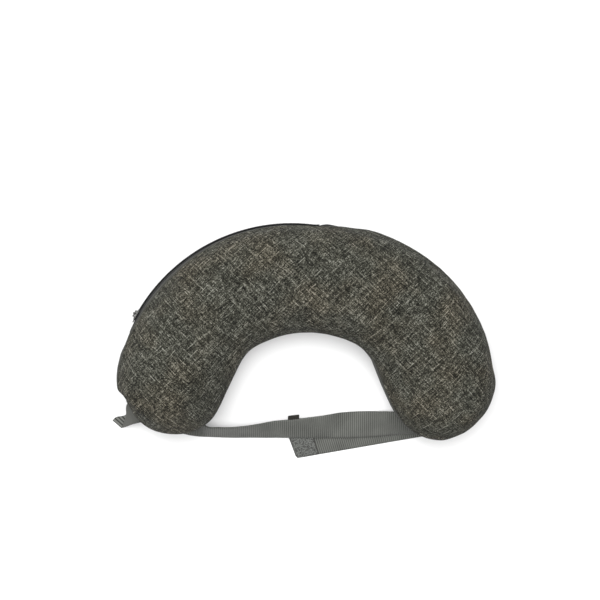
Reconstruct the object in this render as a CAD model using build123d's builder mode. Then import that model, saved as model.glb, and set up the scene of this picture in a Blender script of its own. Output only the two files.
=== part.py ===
"""Crescent neck rest with a zipped fabric cover and two hook-and-loop straps, lying on its back.

X runs from leg to leg, +Y points at the crown of the arch and +Z out of the front face. The origin
is on the back face, in the middle of the crown. All sizes are in millimetres.
"""
import os
from math import cos, radians, sin

from build123d import *

# Whole bolster
thickness = 95.0
edge_round = 38.0

# Outline in plan, a chain of tangent arcs. Bearings are clockwise from +Y, in degrees.
zip_centre = (-15.3, -121.2)
zip_side_radius = 176.5
zip_side_bearing = -78.9
crown_radius = 400.0
crown_bearing = 9.4
shoulder_radius = 165.0
shoulder_bearing = 82.0
leg_tip_radius = 58.0
arch_centre = (0.0, -158.5)
arch_radius = 105.0
arch_bearing = 28.0
arch_corner_radius = 40.0
flank_bearing = 64.0

# Cover and filling
cover_thickness = 1.8
liner_gap = 0.2
liner_thickness = 0.8
back_seam_height = 21.0
front_seam_apex = 40.2
front_seam_slope = 0.185
seam_cone_centre = (0.0, -131.0)
zone_size = 300.0

# Zip, on arcs about zip_centre at the middle of the side wall
zip_height = thickness / 2 + 0.5
zip_gusset_start = -69.0
zip_gusset_end = 16.0
tape_start = -67.0
tape_end = 14.0
coil_start = -62.9
coil_end = 9.0
tape_outer = 175.6
tape_thickness = 1.0
tape_reach = 8.0
coil_outer = 176.2
coil_depth = 2.0
coil_width = 2.0
coil_gap = 1.2
stop_bearing_span = 0.8
groove_radius = 171.2

# Slider and pull
slider_bearing = -60.9
slider_half_angle = 1.6
slider_half_width = 4.2
plate_inner = 176.6
plate_outer = 177.5
under_plate_inner = 172.4
under_plate_outer = 173.8
web_thickness = 0.6
flange_drop = 0.6
lug_length = 7.2
lug_height = 2.0
lug_thickness = 1.1
lug_window_length = 4.4
lug_window_height = 1.2
pull_eye_inner_radius = 0.78
pull_eye_outer_radius = 1.4
pull_eye_length = 1.6
pull_neck = 1.1
pull_width = 5.2
pull_thickness = 1.1
pull_length = 13.5

# Straps
webbing_width = 25.4
webbing_thickness = 1.6
patch_thickness = 0.8
layer_gap = 0.4
anchor_height = 21.0
left_pivot = (-186.0, -141.0)
right_pivot = (168.0, -141.7)
right_strap_bearing = 260.5
right_strap_length = 182.0
free_corner_radius = 4.0
hook_patch_length = 26.0
bartack_length = 22.0
bartack_width = 2.4
bartack_height = 0.7
label_width = 11.0
label_reach = 5.0
label_thickness = 1.0
label_x = -14.0


def at_bearing(centre, radius, bearing):
    """Point at a distance from a centre, at a bearing clockwise from +Y."""
    x = centre[0] + radius * sin(radians(bearing))
    y = centre[1] + radius * cos(radians(bearing))
    return (x, y)


def bearing_arc(centre, radius, start, end):
    """Arc from one bearing to another."""
    CenterArc(centre, radius, 90 - start, start - end)


crown_centre = at_bearing(zip_centre, zip_side_radius - crown_radius, 0)
shoulder_centre = at_bearing(crown_centre, crown_radius - shoulder_radius, crown_bearing)
right_tip = at_bearing(shoulder_centre, shoulder_radius - leg_tip_radius, shoulder_bearing)
left_tip = at_bearing(zip_centre, zip_side_radius - leg_tip_radius, zip_side_bearing)
corner_right = at_bearing(arch_centre, arch_radius - arch_corner_radius, arch_bearing)
corner_left = (-corner_right[0], corner_right[1])


def heel(tip, corner, side):
    """Arc joining a leg's tip to its inner flank: its centre and radius, and the flank's two ends."""
    normal = (side * sin(radians(flank_bearing)), cos(radians(flank_bearing)))
    flank_top = at_bearing(corner, arch_corner_radius, side * flank_bearing)
    bottom = at_bearing(tip, leg_tip_radius, 180)
    reach = (bottom[0] - flank_top[0]) * normal[0] + (bottom[1] - flank_top[1]) * normal[1]
    radius = reach / (1 - normal[1])
    centre = (bottom[0], bottom[1] + radius)
    flank_bottom = (centre[0] - radius * normal[0], centre[1] - radius * normal[1])
    return centre, radius, flank_top, flank_bottom


right_heel = heel(right_tip, corner_right, 1)
left_heel = heel(left_tip, corner_left, -1)

with BuildSketch() as outline:
    with BuildLine():
        bearing_arc(zip_centre, zip_side_radius, zip_side_bearing, 0)
        bearing_arc(crown_centre, crown_radius, 0, crown_bearing)
        bearing_arc(shoulder_centre, shoulder_radius, crown_bearing, shoulder_bearing)
        bearing_arc(right_tip, leg_tip_radius, shoulder_bearing, 180)
        bearing_arc(right_heel[0], right_heel[1], 180, 180 + flank_bearing)
        Line(right_heel[3], right_heel[2])
        bearing_arc(corner_right, arch_corner_radius, flank_bearing, arch_bearing)
        bearing_arc(arch_centre, arch_radius, arch_bearing, -arch_bearing)
        bearing_arc(corner_left, arch_corner_radius, -arch_bearing, -flank_bearing)
        Line(left_heel[2], left_heel[3])
        bearing_arc(left_heel[0], left_heel[1], 180 - flank_bearing, 180)
        bearing_arc(left_tip, leg_tip_radius, 180, 360 + zip_side_bearing)
    make_face()


def bolster(inset):
    """The whole rounded bolster, shrunk by an inset on every side."""
    with BuildPart() as body:
        with BuildSketch(Plane.XY.offset(inset)):
            add(outline.sketch)
            if inset:
                offset(amount=-inset)
        extrude(amount=thickness - 2 * inset)
        fillet(body.edges().group_by(Axis.Z)[-1], edge_round - inset)
        fillet(body.edges().group_by(Axis.Z)[0], edge_round - inset)
    return body.part


def zip_ring(inner, outer, start, end, low, high):
    """Piece of a ring about the zip's centre, between two bearings and two heights."""
    with BuildPart() as ring:
        with BuildSketch(Plane.XY.offset(low)):
            with BuildLine():
                bearing_arc(zip_centre, inner, start, end)
                Line(at_bearing(zip_centre, inner, end), at_bearing(zip_centre, outer, end))
                bearing_arc(zip_centre, outer, end, start)
                Line(at_bearing(zip_centre, outer, start), at_bearing(zip_centre, inner, start))
            make_face()
        extrude(amount=high - low)
    return ring.part


def slab(low, high):
    """Everything between two heights."""
    with BuildPart() as block:
        with BuildSketch(Plane.XY.offset(low)):
            Rectangle(2 * zone_size, 2 * zone_size)
        extrude(amount=high - low)
    return block.part


def save(part, name):
    """Label a finished piece and write its STEP file."""
    part.label = name
    export_step(part, f"parts/{name}.step")


os.makedirs("parts", exist_ok=True)

whole = bolster(0)
inside_cover = bolster(cover_thickness)
inside_gap = bolster(cover_thickness + liner_gap)
inside_liner = bolster(cover_thickness + liner_gap + liner_thickness)

with BuildPart() as front_zone:
    with BuildSketch(Plane.XZ.offset(-seam_cone_centre[1])):
        rim = front_seam_apex + front_seam_slope * zone_size
        Polygon((0, front_seam_apex), (zone_size, rim), (zone_size, zone_size), (0, zone_size), align=None)
    revolve(axis=Axis((0, seam_cone_centre[1], 0), (0, 0, 1)))

tape_low = zip_height - tape_reach
tape_high = zip_height + tape_reach
zip_zone = zip_ring(140, 210, zip_gusset_start, zip_gusset_end, 0, thickness)
zip_slot = zip_ring(140, 210, zip_gusset_start, zip_gusset_end, tape_low, tape_high)
groove = zip_ring(groove_radius, 210, zip_gusset_start, zip_gusset_end, tape_low, tape_high)
wide_groove = zip_ring(
    groove_radius - liner_thickness,
    210,
    zip_gusset_start - 0.3,
    zip_gusset_end + 0.3,
    tape_low - liner_thickness,
    tape_high + liner_thickness,
)

# Filling: one moulded foam core in a thin inner bag, both dented along the back of the zip
with BuildPart() as foam_core:
    add(inside_liner)
    add(wide_groove, mode=Mode.SUBTRACT)
save(foam_core.part, "foam_core")

with BuildPart() as inner_liner:
    add(inside_gap)
    add(groove, mode=Mode.SUBTRACT)
    add(foam_core.part, mode=Mode.SUBTRACT)
save(inner_liner.part, "inner_liner")

# Cover panels, cut from one shell along the two seams
with BuildPart() as front_panel:
    add(whole)
    add(inside_cover, mode=Mode.SUBTRACT)
    add(front_zone.part, mode=Mode.INTERSECT)
save(front_panel.part, "front_panel")

with BuildPart() as back_panel:
    add(whole)
    add(inside_cover, mode=Mode.SUBTRACT)
    add(slab(0, back_seam_height), mode=Mode.INTERSECT)
save(back_panel.part, "back_panel")

with BuildPart() as side_band:
    add(whole)
    add(inside_cover, mode=Mode.SUBTRACT)
    add(slab(back_seam_height, thickness), mode=Mode.INTERSECT)
    add(front_zone.part, mode=Mode.SUBTRACT)

with BuildPart() as side_gusset:
    add(side_band.part)
    add(zip_zone, mode=Mode.SUBTRACT)
save(side_gusset.part, "side_gusset")

with BuildPart() as zip_gusset_front:
    add(side_band.part)
    add(zip_ring(140, 210, zip_gusset_start, zip_gusset_end, tape_high, thickness), mode=Mode.INTERSECT)
save(zip_gusset_front.part, "zip_gusset_front")

with BuildPart() as zip_gusset_back:
    add(side_band.part)
    add(zip_ring(140, 210, zip_gusset_start, zip_gusset_end, 0, tape_low), mode=Mode.INTERSECT)
save(zip_gusset_back.part, "zip_gusset_back")

# Zip tapes and coils, a front and a back one on each side of the closing line
for name, side in (("front", 1), ("back", -1)):
    coil_near = zip_height + side * coil_gap / 2
    coil_far = coil_near + side * coil_width
    tape_far = zip_height + side * tape_reach
    tape_inner = tape_outer - tape_thickness
    tape_span = sorted((coil_far, tape_far))
    coil_span = sorted((coil_near, coil_far))
    coil_inner = coil_outer - coil_depth
    save(zip_ring(tape_inner, tape_outer, tape_start, tape_end, *tape_span), f"zip_tape_{name}")
    save(zip_ring(coil_inner, coil_outer, coil_start, coil_end, *coil_span), f"zip_coil_{name}")

# Crimped stops: a pair above the slider and one across both tapes at the far end
coil_low = zip_height - coil_gap / 2 - coil_width
coil_high = zip_height + coil_gap / 2 + coil_width
stop_start = coil_start - stop_bearing_span
with BuildPart() as zip_top_stops:
    add(zip_ring(tape_outer, plate_inner, stop_start, coil_start, coil_low, coil_low + coil_width))
    add(zip_ring(tape_outer, plate_inner, stop_start, coil_start, coil_high - coil_width, coil_high))
save(zip_top_stops.part, "zip_top_stops")

with BuildPart() as zip_bottom_stop:
    add(zip_ring(tape_outer, plate_inner, coil_end, coil_end + stop_bearing_span, coil_low, coil_high))
save(zip_bottom_stop.part, "zip_bottom_stop")

# Slider: two plates joined by a thin web between the coils, with an arched lug for the pull
slider_start = slider_bearing - slider_half_angle
slider_end = slider_bearing + slider_half_angle
slider_low = zip_height - slider_half_width
slider_high = zip_height + slider_half_width
flange_inner = plate_inner - flange_drop
slider_plane = Plane(
    origin=(*at_bearing(zip_centre, plate_outer, slider_bearing), zip_height),
    x_dir=(cos(radians(slider_bearing)), -sin(radians(slider_bearing)), 0),
    z_dir=(0, 0, 1),
)
with BuildPart() as zip_slider:
    add(zip_ring(plate_inner, plate_outer, slider_start, slider_end, slider_low, slider_high))
    add(zip_ring(under_plate_inner, under_plate_outer, slider_start, slider_end, slider_low, slider_high))
    web_low = zip_height - web_thickness / 2
    add(
        zip_ring(
            under_plate_inner, plate_outer, slider_bearing, slider_end, web_low, web_low + web_thickness
        )
    )
    for low in (slider_low, slider_high - flange_drop):
        add(zip_ring(flange_inner, plate_outer, slider_start, slider_end, low, low + flange_drop))
    with BuildSketch(slider_plane):
        Rectangle(lug_length, lug_height, align=(Align.CENTER, Align.MIN))
        with Locations((0, -0.4)):
            Rectangle(lug_length, 0.8, align=(Align.CENTER, Align.MIN))
        Rectangle(
            lug_window_length, lug_window_height, align=(Align.CENTER, Align.MIN), mode=Mode.SUBTRACT
        )
    extrude(amount=lug_thickness / 2, both=True)
save(zip_slider.part, "zip_slider")

# The pull's eye loops round the lug's top bar, and the tab hangs from it down the side wall
bar_height = (lug_height + lug_window_height) / 2
eye_centre = slider_plane.from_local_coords((0, bar_height, 0))
eye_plane = Plane(origin=eye_centre, x_dir=(0, 0, -1), z_dir=slider_plane.x_dir)
tab_plane = Plane(origin=eye_centre, x_dir=(0, 0, -1), z_dir=slider_plane.y_dir)
with BuildPart() as zip_pull:
    with BuildSketch(eye_plane):
        Circle(pull_eye_outer_radius)
        Circle(pull_eye_inner_radius, mode=Mode.SUBTRACT)
    extrude(amount=pull_eye_length / 2, both=True)
    with BuildSketch(tab_plane):
        with Locations((pull_neck, 0)):
            Rectangle(pull_width / 2, pull_eye_length, align=(Align.MIN, Align.CENTER))
        with Locations(((pull_length + pull_neck + 1) / 2, 0)):
            RectangleRounded(pull_length - pull_neck - 1, pull_width, pull_width / 2 - 0.1)
    extrude(amount=pull_thickness / 2, both=True)
save(zip_pull.part, "zip_pull")


# Straps: elastic webbing sewn into the back seam at each leg's tip and folded under the leg
def anchor_tab(name, tip, pivot, foot_gap):
    """Sewn-in root of a strap, from the back seam down and out to the fold."""
    run = Vector(pivot[0] - tip[0], pivot[1] - tip[1])
    radial = Plane(origin=(*tip, 0), x_dir=(run.X, run.Y, 0), z_dir=(run.Y, -run.X, 0))
    foot = run.length - foot_gap
    rise = webbing_thickness
    floor_gap = webbing_thickness + layer_gap
    with BuildPart() as tab:
        with BuildSketch(radial):
            Polygon(
                (leg_tip_radius - 12, anchor_height - rise),
                (leg_tip_radius - 4, anchor_height - rise),
                (foot, floor_gap),
                (foot + rise, floor_gap),
                (leg_tip_radius - 3, anchor_height),
                (leg_tip_radius - 12, anchor_height),
                align=None,
            )
        extrude(amount=webbing_width / 2, both=True)
        add(whole, mode=Mode.SUBTRACT)
    save(tab.part, f"strap_anchor_{name}")
    with BuildPart() as tack:
        with BuildSketch(radial):
            with Locations((leg_tip_radius - 3 + bartack_width / 2, anchor_height)):
                Rectangle(bartack_width, 2 * bartack_height)
        extrude(amount=bartack_length / 2, both=True)
        add(whole, mode=Mode.SUBTRACT)
        add(tab.part, mode=Mode.SUBTRACT)
    save(tack.part, f"bartack_{name}")


anchor_tab("left", left_tip, left_pivot, 4.0)
anchor_tab("right", right_tip, right_pivot, 1.5)

# Right strap: flat on the floor, with a hook patch on its free end
right_strap_plane = Plane(
    origin=(*right_pivot, 0),
    x_dir=(sin(radians(right_strap_bearing)), cos(radians(right_strap_bearing)), 0),
    z_dir=(0, 0, 1),
)
with BuildPart() as strap_right:
    with BuildSketch(right_strap_plane):
        with Locations((right_strap_length / 2, 0)):
            Rectangle(right_strap_length, webbing_width)
        Circle(webbing_width / 2)
    extrude(amount=webbing_thickness)
    free_edges = strap_right.edges().filter_by(Axis.Z).sort_by(Axis.X)[0:2]
    fillet(free_edges, free_corner_radius)
save(strap_right.part, "strap_right")

with BuildPart() as hook_patch:
    with BuildSketch(right_strap_plane.offset(webbing_thickness)):
        with Locations((right_strap_length - hook_patch_length / 2 - 1, 0)):
            RectangleRounded(hook_patch_length, webbing_width - 2, free_corner_radius - 1)
    extrude(amount=patch_thickness)
save(hook_patch.part, "hook_patch")

# Left strap: stations along X, each with its low edge's Y and Z and the webbing's tilt in degrees.
# It runs flat under the leg, stands on edge across the gap and lies flat again under the right leg.
over_right = webbing_thickness + layer_gap + patch_thickness
left_stations = [
    (-197.0, -151.5, 0.0, 0.0),
    (-112.0, -161.2, 0.0, 1.5),
    (-92.0, -161.5, 0.8, 64.0),
    (-60.0, -161.8, 2.2, 64.0),
    (-3.0, -163.0, over_right, 43.0),
    (39.0, -163.5, over_right, 0.0),
    (112.0, -162.0, over_right, 0.0),
]


def webbing_plane(station):
    """Plane across the left strap: its x axis runs up the webbing's width from the low edge."""
    x, y, z, tilt = station
    return Plane(origin=(x, y, z), x_dir=(0, cos(radians(tilt)), sin(radians(tilt))), z_dir=(1, 0, 0))


def between(x):
    """Station at any X, on a straight line between its neighbours."""
    for before, after in zip(left_stations, left_stations[1:]):
        if before[0] <= x <= after[0]:
            share = (x - before[0]) / (after[0] - before[0])
            return tuple(a + share * (b - a) for a, b in zip(before, after))


with BuildPart() as strap_left:
    for station in left_stations:
        with BuildSketch(webbing_plane(station)):
            Rectangle(webbing_width, webbing_thickness, align=(Align.MIN, Align.MIN))
    loft(ruled=True)
save(strap_left.part, "strap_left")

with BuildPart() as loop_patch:
    for station in left_stations[-2:]:
        with BuildSketch(webbing_plane(station)):
            with Locations((webbing_width / 2, 0)):
                Rectangle(webbing_width - 2, patch_thickness, align=(Align.CENTER, Align.MAX))
    loft(ruled=True)
save(loop_patch.part, "loop_patch")

with BuildPart() as strap_label:
    for x in (label_x - label_width / 2, label_x + label_width / 2):
        with BuildSketch(webbing_plane(between(x))):
            with Locations((webbing_width, webbing_thickness / 2)):
                Rectangle(label_reach, label_thickness, align=(Align.MIN, Align.CENTER))
    loft(ruled=True)
save(strap_label.part, "strap_label")
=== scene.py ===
"""Crescent neck rest: a zipped heather cover on a foam core, two ribbed elastic straps, on its back."""
import math
from contextlib import contextmanager

import bmesh
import bpy
import numpy as np
from mathutils import Matrix, Vector


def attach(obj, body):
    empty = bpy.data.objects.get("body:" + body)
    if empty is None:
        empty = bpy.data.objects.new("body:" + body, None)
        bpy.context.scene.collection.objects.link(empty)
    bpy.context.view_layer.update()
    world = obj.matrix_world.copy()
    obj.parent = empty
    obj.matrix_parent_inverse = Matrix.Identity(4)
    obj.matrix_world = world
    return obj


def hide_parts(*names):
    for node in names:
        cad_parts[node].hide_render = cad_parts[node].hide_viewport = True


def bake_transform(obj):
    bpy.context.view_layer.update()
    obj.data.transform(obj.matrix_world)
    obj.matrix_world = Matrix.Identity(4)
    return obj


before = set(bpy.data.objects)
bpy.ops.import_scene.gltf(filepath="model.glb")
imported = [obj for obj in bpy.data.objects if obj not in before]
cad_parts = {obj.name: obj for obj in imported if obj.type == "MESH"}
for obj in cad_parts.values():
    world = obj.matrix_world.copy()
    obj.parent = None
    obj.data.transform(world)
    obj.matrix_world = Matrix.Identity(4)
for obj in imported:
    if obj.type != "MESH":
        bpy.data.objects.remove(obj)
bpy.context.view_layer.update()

MM = 0.001


# ----------------------------------------------------------
# Outline of the cushion in plan, the same chain of tangent arcs as the CAD model, in millimetres
# ----------------------------------------------------------
ZIP_CENTRE = (-15.3, -121.2)
ZIP_SIDE_RADIUS = 176.5
ZIP_SIDE_BEARING = -78.9
CROWN_RADIUS = 400.0
CROWN_BEARING = 9.4
SHOULDER_RADIUS = 165.0
SHOULDER_BEARING = 82.0
TIP_RADIUS = 58.0
ARCH_CENTRE = (0.0, -158.5)
ARCH_RADIUS = 105.0
ARCH_BEARING = 28.0
CORNER_RADIUS = 40.0
FLANK_BEARING = 64.0
ZIP_START = -69.0
ZIP_END = 16.0
THICKNESS = 95.0
# Points on the outline, and how many points are compared with it at a time
OUTLINE_COUNT = 640
CHUNK = 4000


def at_bearing(centre, radius, bearing):
    """Point at a distance and a bearing, clockwise from +Y, in degrees."""
    a = math.radians(bearing)
    return (centre[0] + radius * math.sin(a), centre[1] + radius * math.cos(a))


def arc(centre, radius, start, end, step=2.0):
    """Points along an arc between two bearings."""
    count = max(2, int(abs(math.radians(end - start)) * abs(radius) / step))
    return [at_bearing(centre, radius, b) for b in np.linspace(start, end, count)]


def heel(tip, corner, side):
    """Arc from a leg's tip to its inner flank: centre and radius."""
    normal = at_bearing((0, 0), 1, side * FLANK_BEARING)
    top = at_bearing(corner, CORNER_RADIUS, side * FLANK_BEARING)
    bottom = at_bearing(tip, TIP_RADIUS, 180)
    reach = (bottom[0] - top[0]) * normal[0] + (bottom[1] - top[1]) * normal[1]
    radius = reach / (1 - normal[1])
    return (bottom[0], bottom[1] + radius), radius


def outline_points():
    """The closed outline, clockwise from the left leg's outer side, evenly spaced."""
    crown = at_bearing(ZIP_CENTRE, ZIP_SIDE_RADIUS - CROWN_RADIUS, 0)
    shoulder = at_bearing(crown, CROWN_RADIUS - SHOULDER_RADIUS, CROWN_BEARING)
    right_tip = at_bearing(shoulder, SHOULDER_RADIUS - TIP_RADIUS, SHOULDER_BEARING)
    left_tip = at_bearing(ZIP_CENTRE, ZIP_SIDE_RADIUS - TIP_RADIUS, ZIP_SIDE_BEARING)
    corner = at_bearing(ARCH_CENTRE, ARCH_RADIUS - CORNER_RADIUS, ARCH_BEARING)
    left_corner = (-corner[0], corner[1])
    right_heel, right_radius = heel(right_tip, corner, 1)
    left_heel, left_radius = heel(left_tip, left_corner, -1)
    chain = arc(ZIP_CENTRE, ZIP_SIDE_RADIUS, ZIP_SIDE_BEARING, 0)
    chain += arc(crown, CROWN_RADIUS, 0, CROWN_BEARING)
    chain += arc(shoulder, SHOULDER_RADIUS, CROWN_BEARING, SHOULDER_BEARING)
    chain += arc(right_tip, TIP_RADIUS, SHOULDER_BEARING, 180)
    chain += arc(right_heel, right_radius, 180, 180 + FLANK_BEARING)
    chain += arc(corner, CORNER_RADIUS, FLANK_BEARING, ARCH_BEARING)
    chain += arc(ARCH_CENTRE, ARCH_RADIUS, ARCH_BEARING, -ARCH_BEARING)
    chain += arc(left_corner, CORNER_RADIUS, -ARCH_BEARING, -FLANK_BEARING)
    chain += arc(left_heel, left_radius, 180 - FLANK_BEARING, 180)
    chain += arc(left_tip, TIP_RADIUS, 180, 360 + ZIP_SIDE_BEARING)
    points = np.array(chain)
    closed = np.vstack([points, points[:1]])
    steps = np.hypot(*np.diff(closed, axis=0).T)
    length = np.concatenate([[0], np.cumsum(steps)])
    even = np.linspace(0, length[-1], OUTLINE_COUNT, endpoint=False)
    return np.stack([np.interp(even, length, closed[:, i]) for i in (0, 1)], 1), even


OUTLINE, OUTLINE_LENGTH = outline_points()
TANGENT = np.roll(OUTLINE, -1, 0) - np.roll(OUTLINE, 1, 0)
TANGENT /= np.hypot(*TANGENT.T)[:, None]
OUTWARD = np.stack([-TANGENT[:, 1], TANGENT[:, 0]], 1)


def nearest(xy):
    """For points in plan: index of the nearest outline point, and the distance inside it."""
    index = np.empty(len(xy), int)
    for i in range(0, len(xy), CHUNK):
        gap = xy[i : i + CHUNK, None, :] - OUTLINE[None]
        index[i : i + CHUNK] = (gap**2).sum(2).argmin(1)
    inset = -((xy - OUTLINE[index]) * OUTWARD[index]).sum(1)
    return index, inset


# ----------------------------------------------------------
# Section of the cushion and the heights of its seams
# ----------------------------------------------------------
# Half the cushion's width, the middle of its thickness, how far the back would reach if the floor
# didn't flatten it, the roundness of both sides, and the heights of the back seam and the zip
HALF_WIDTH = 53.5
MIDDLE = THICKNESS / 2
BACK_RISE = MIDDLE + 2
FRONT_POWER = 2.35
BACK_POWER = 2.7
SEAM_CENTRE = (0.0, -131.0)
BACK_SEAM = 21.0
ZIP_HEIGHT = 48.0
SLOT_LOW = 40.0
SLOT_HIGH = 57.0
# Front seam's height by bearing about the arch: on the outer side and on the inner side
SEAM_BEARINGS = (-140, -105, -78, -64, -40, -24, 0, 34, 60, 100, 140)
SEAM_OUTER = (57, 58, 65, 71, 72, 67, 65, 63, 62, 57, 54)
SEAM_INNER = (53, 52, 50, 50, 50, 51, 54, 58, 60, 57, 54)


def section_height(inset, power, rise):
    """Height above or below the middle at a distance inside the outline."""
    share = 1 - np.clip(inset, 0, HALF_WIDTH) / HALF_WIDTH
    return rise * (1 - share**power) ** (1 / power)


def bearing_about(centre, xy):
    """Bearing of each point in plan, clockwise from +Y, in degrees."""
    return np.degrees(np.arctan2(xy[:, 0] - centre[0], xy[:, 1] - centre[1]))


def front_seam_height(xy):
    """Height of the seam between the front panel and the side, over any point in plan."""
    bearing = bearing_about(SEAM_CENTRE, xy)
    radius = np.hypot(xy[:, 0] - SEAM_CENTRE[0], xy[:, 1] - SEAM_CENTRE[1])
    outside = np.clip((radius - 110) / 40, 0, 1)
    outer = np.interp(bearing, SEAM_BEARINGS, SEAM_OUTER)
    inner = np.interp(bearing, SEAM_BEARINGS, SEAM_INNER)
    return inner + (outer - inner) * outside


def smooth_step(value, low, high):
    """0 below low, 1 above high, with an eased rise between."""
    share = np.clip((value - low) / (high - low), 0, 1)
    return share * share * (3 - 2 * share)


def band(value, low, full, fading, high):
    """0 up to low, 1 from full to fading, and 0 again past high."""
    return smooth_step(value, low, full) * smooth_step(-value, -high, -fading)


def outer_side():
    """The outline's outer side as seen from the zip's centre: bearings in order and distances."""
    distance = np.hypot(*(OUTLINE - ZIP_CENTRE).T)
    bearing = bearing_about(ZIP_CENTRE, OUTLINE)
    outer = (distance > 150) & (np.abs(bearing) < 75)
    order = np.argsort(bearing[outer])
    return bearing[outer][order], distance[outer][order]


OUTER_BEARINGS, OUTER_DISTANCES = outer_side()


def outline_radius(bearing):
    """Distance from the zip's centre out to the outline, by bearing."""
    return np.interp(bearing, OUTER_BEARINGS, OUTER_DISTANCES)


def crown_fullness(bearing):
    """Extra stuffing to the right of the crown's top, in mm, by bearing about the zip's centre."""
    return 1.2 * band(bearing, 6, 12, 24, 40)


def zip_rise(bearing):
    """How far the last stretch of the zip, past the slider's travel, follows the outline outwards."""
    follow = smooth_step(bearing, 7.5, 12) * (outline_radius(bearing) - ZIP_SIDE_RADIUS)
    return follow + crown_fullness(bearing)


def zip_share(xy):
    """1 beside the zip, 0 away from its ends, for points on the cushion's side."""
    bearing = bearing_about(ZIP_CENTRE, xy)
    radius = np.hypot(xy[:, 0] - ZIP_CENTRE[0], xy[:, 1] - ZIP_CENTRE[1])
    return band(bearing, ZIP_START - 6, ZIP_START, ZIP_END, ZIP_END + 8) * (radius > 120)


# ----------------------------------------------------------
# Mesh helpers
# ----------------------------------------------------------
def new_object(name, vertices, faces):
    """Smooth-shaded object from vertices in millimetres."""
    mesh = bpy.data.meshes.new(name)
    mesh.from_pydata([tuple(np.asarray(v) * MM) for v in vertices], [], faces)
    mesh.validate()
    mesh.polygons.foreach_set("use_smooth", [True] * len(mesh.polygons))
    obj = bpy.data.objects.new(name, mesh)
    bpy.context.collection.objects.link(obj)
    return obj


def read(mesh):
    """Vertices of a mesh, in millimetres."""
    co = np.empty(len(mesh.vertices) * 3, np.float32)
    mesh.vertices.foreach_get("co", co)
    return co.reshape(-1, 3).astype(float) / MM


def write(mesh, co):
    """Set a mesh's vertices, from millimetres."""
    mesh.vertices.foreach_set("co", (co * MM).astype(np.float32).ravel())
    mesh.update()


def normals(mesh):
    """Normals at a mesh's vertices."""
    out = np.empty(len(mesh.vertices) * 3, np.float32)
    mesh.vertex_normals.foreach_get("vector", out)
    return out.reshape(-1, 3).astype(float)


def store(obj, name, values):
    """Vector attribute, in millimetres, that the materials read."""
    values = np.asarray(values, np.float32)
    if values.shape[1] == 2:
        values = np.hstack([values, np.zeros((len(values), 1), np.float32)])
    attribute = obj.data.attributes.new(name, "FLOAT_VECTOR", "POINT")
    attribute.data.foreach_set("vector", values.ravel())


def evaluated(obj):
    """New mesh of an object with its modifiers in effect."""
    graph = bpy.context.evaluated_depsgraph_get()
    graph.update()
    return bpy.data.meshes.new_from_object(obj.evaluated_get(graph))


def apply_modifiers(obj):
    """Replace an object's mesh with its evaluated one."""
    mesh = evaluated(obj)
    obj.modifiers.clear()
    old = obj.data
    obj.data = mesh
    bpy.data.meshes.remove(old)


@contextmanager
def edited(mesh):
    """A mesh's editable form, written back at the end."""
    bm = bmesh.new()
    bm.from_mesh(mesh)
    yield bm
    bm.to_mesh(mesh)
    bm.free()
    mesh.update()


def copy_of(obj, name):
    """Copy of an object with a mesh of its own."""
    twin = obj.copy()
    twin.data = obj.data.copy()
    twin.name = name
    bpy.context.collection.objects.link(twin)
    return twin


def noise_field(co, scale, seed):
    """Smooth noise in about -1 to 1, as a sum of a few plane waves, at a wavelength in mm."""
    local = np.random.default_rng(seed)
    total = np.zeros(len(co))
    for _ in range(14):
        direction = local.normal(size=co.shape[1])
        direction /= np.linalg.norm(direction)
        wave = 2 * math.pi / (scale * local.uniform(0.6, 1.6))
        total += np.sin(co @ direction * wave + local.uniform(0, 6.28))
    return total / 5.0


def dress(piece, material, body=None, node=None):
    """Give a finished piece its material and slot, its body, and the CAD node it stands for."""
    piece.data.materials.clear()
    piece.data.materials.append(material)
    if node:
        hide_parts(node)
    if body:
        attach(piece, body)


# ----------------------------------------------------------
# The cushion's stuffed surface
# ----------------------------------------------------------
# Remeshing and stuffing, in mm: cell size, largest bulge, the gusset's hold on the sides as a share,
# half width of the held seams, frames of the simulation, and a range of heights round the cushion
VOXEL = 4.0
LARGEST_PUFF = 5.0
RIM_HOLD = 0.85
HELD_BAND = 2.6
SETTLING_FRAMES = 20
LOWEST, HIGHEST = -40.0, 140.0


def raw_cushion():
    """Closed surface made of rings at growing insets, with flat caps."""
    vertices, faces, rings = [], [], []
    for angle in np.radians(np.linspace(-72, 72, 25)):
        power, rise = (FRONT_POWER, MIDDLE) if angle > 0 else (BACK_POWER, BACK_RISE)
        share = abs(math.cos(angle)) ** (2 / power)
        height = MIDDLE + math.copysign(rise * abs(math.sin(angle)) ** (2 / power), angle)
        ring = OUTLINE - OUTWARD * (1 - share) * HALF_WIDTH
        rings.append(len(vertices))
        vertices += [(x, y, max(height, 0)) for x, y in ring]
    count = len(OUTLINE)
    for low, high in zip(rings, rings[1:]):
        for i in range(count):
            j = (i + 1) % count
            faces.append((low + i, high + i, high + j, low + j))
    faces.append(tuple(range(rings[0], rings[0] + count)))
    faces.append(tuple(reversed(range(rings[-1], rings[-1] + count))))
    return new_object("cushion_form", vertices, faces)


def shape_section(co):
    """Set the heights of the crowned front and the flattened back from the distance inside."""
    index, inset = nearest(co[:, :2])
    top = co[:, 2] > MIDDLE + 30
    under = co[:, 2] < MIDDLE - 30
    co[top, 2] = MIDDLE + section_height(inset[top], FRONT_POWER, MIDDLE)
    co[under, 2] = np.maximum(MIDDLE - section_height(inset[under], BACK_POWER, BACK_RISE), 0)
    return co


def at_rim(co):
    """1 on the widest part of the cushion's sides, where the sewn gusset holds it in, 0 elsewhere."""
    _, inset = nearest(co[:, :2])
    return smooth_step(-inset, -16, -6) * band(co[:, 2], 12, 24, 74, 84)


def on_floor(co):
    """Keep every point on or above the floor."""
    co[:, 2] = np.maximum(co[:, 2], 0)
    return co


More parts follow.
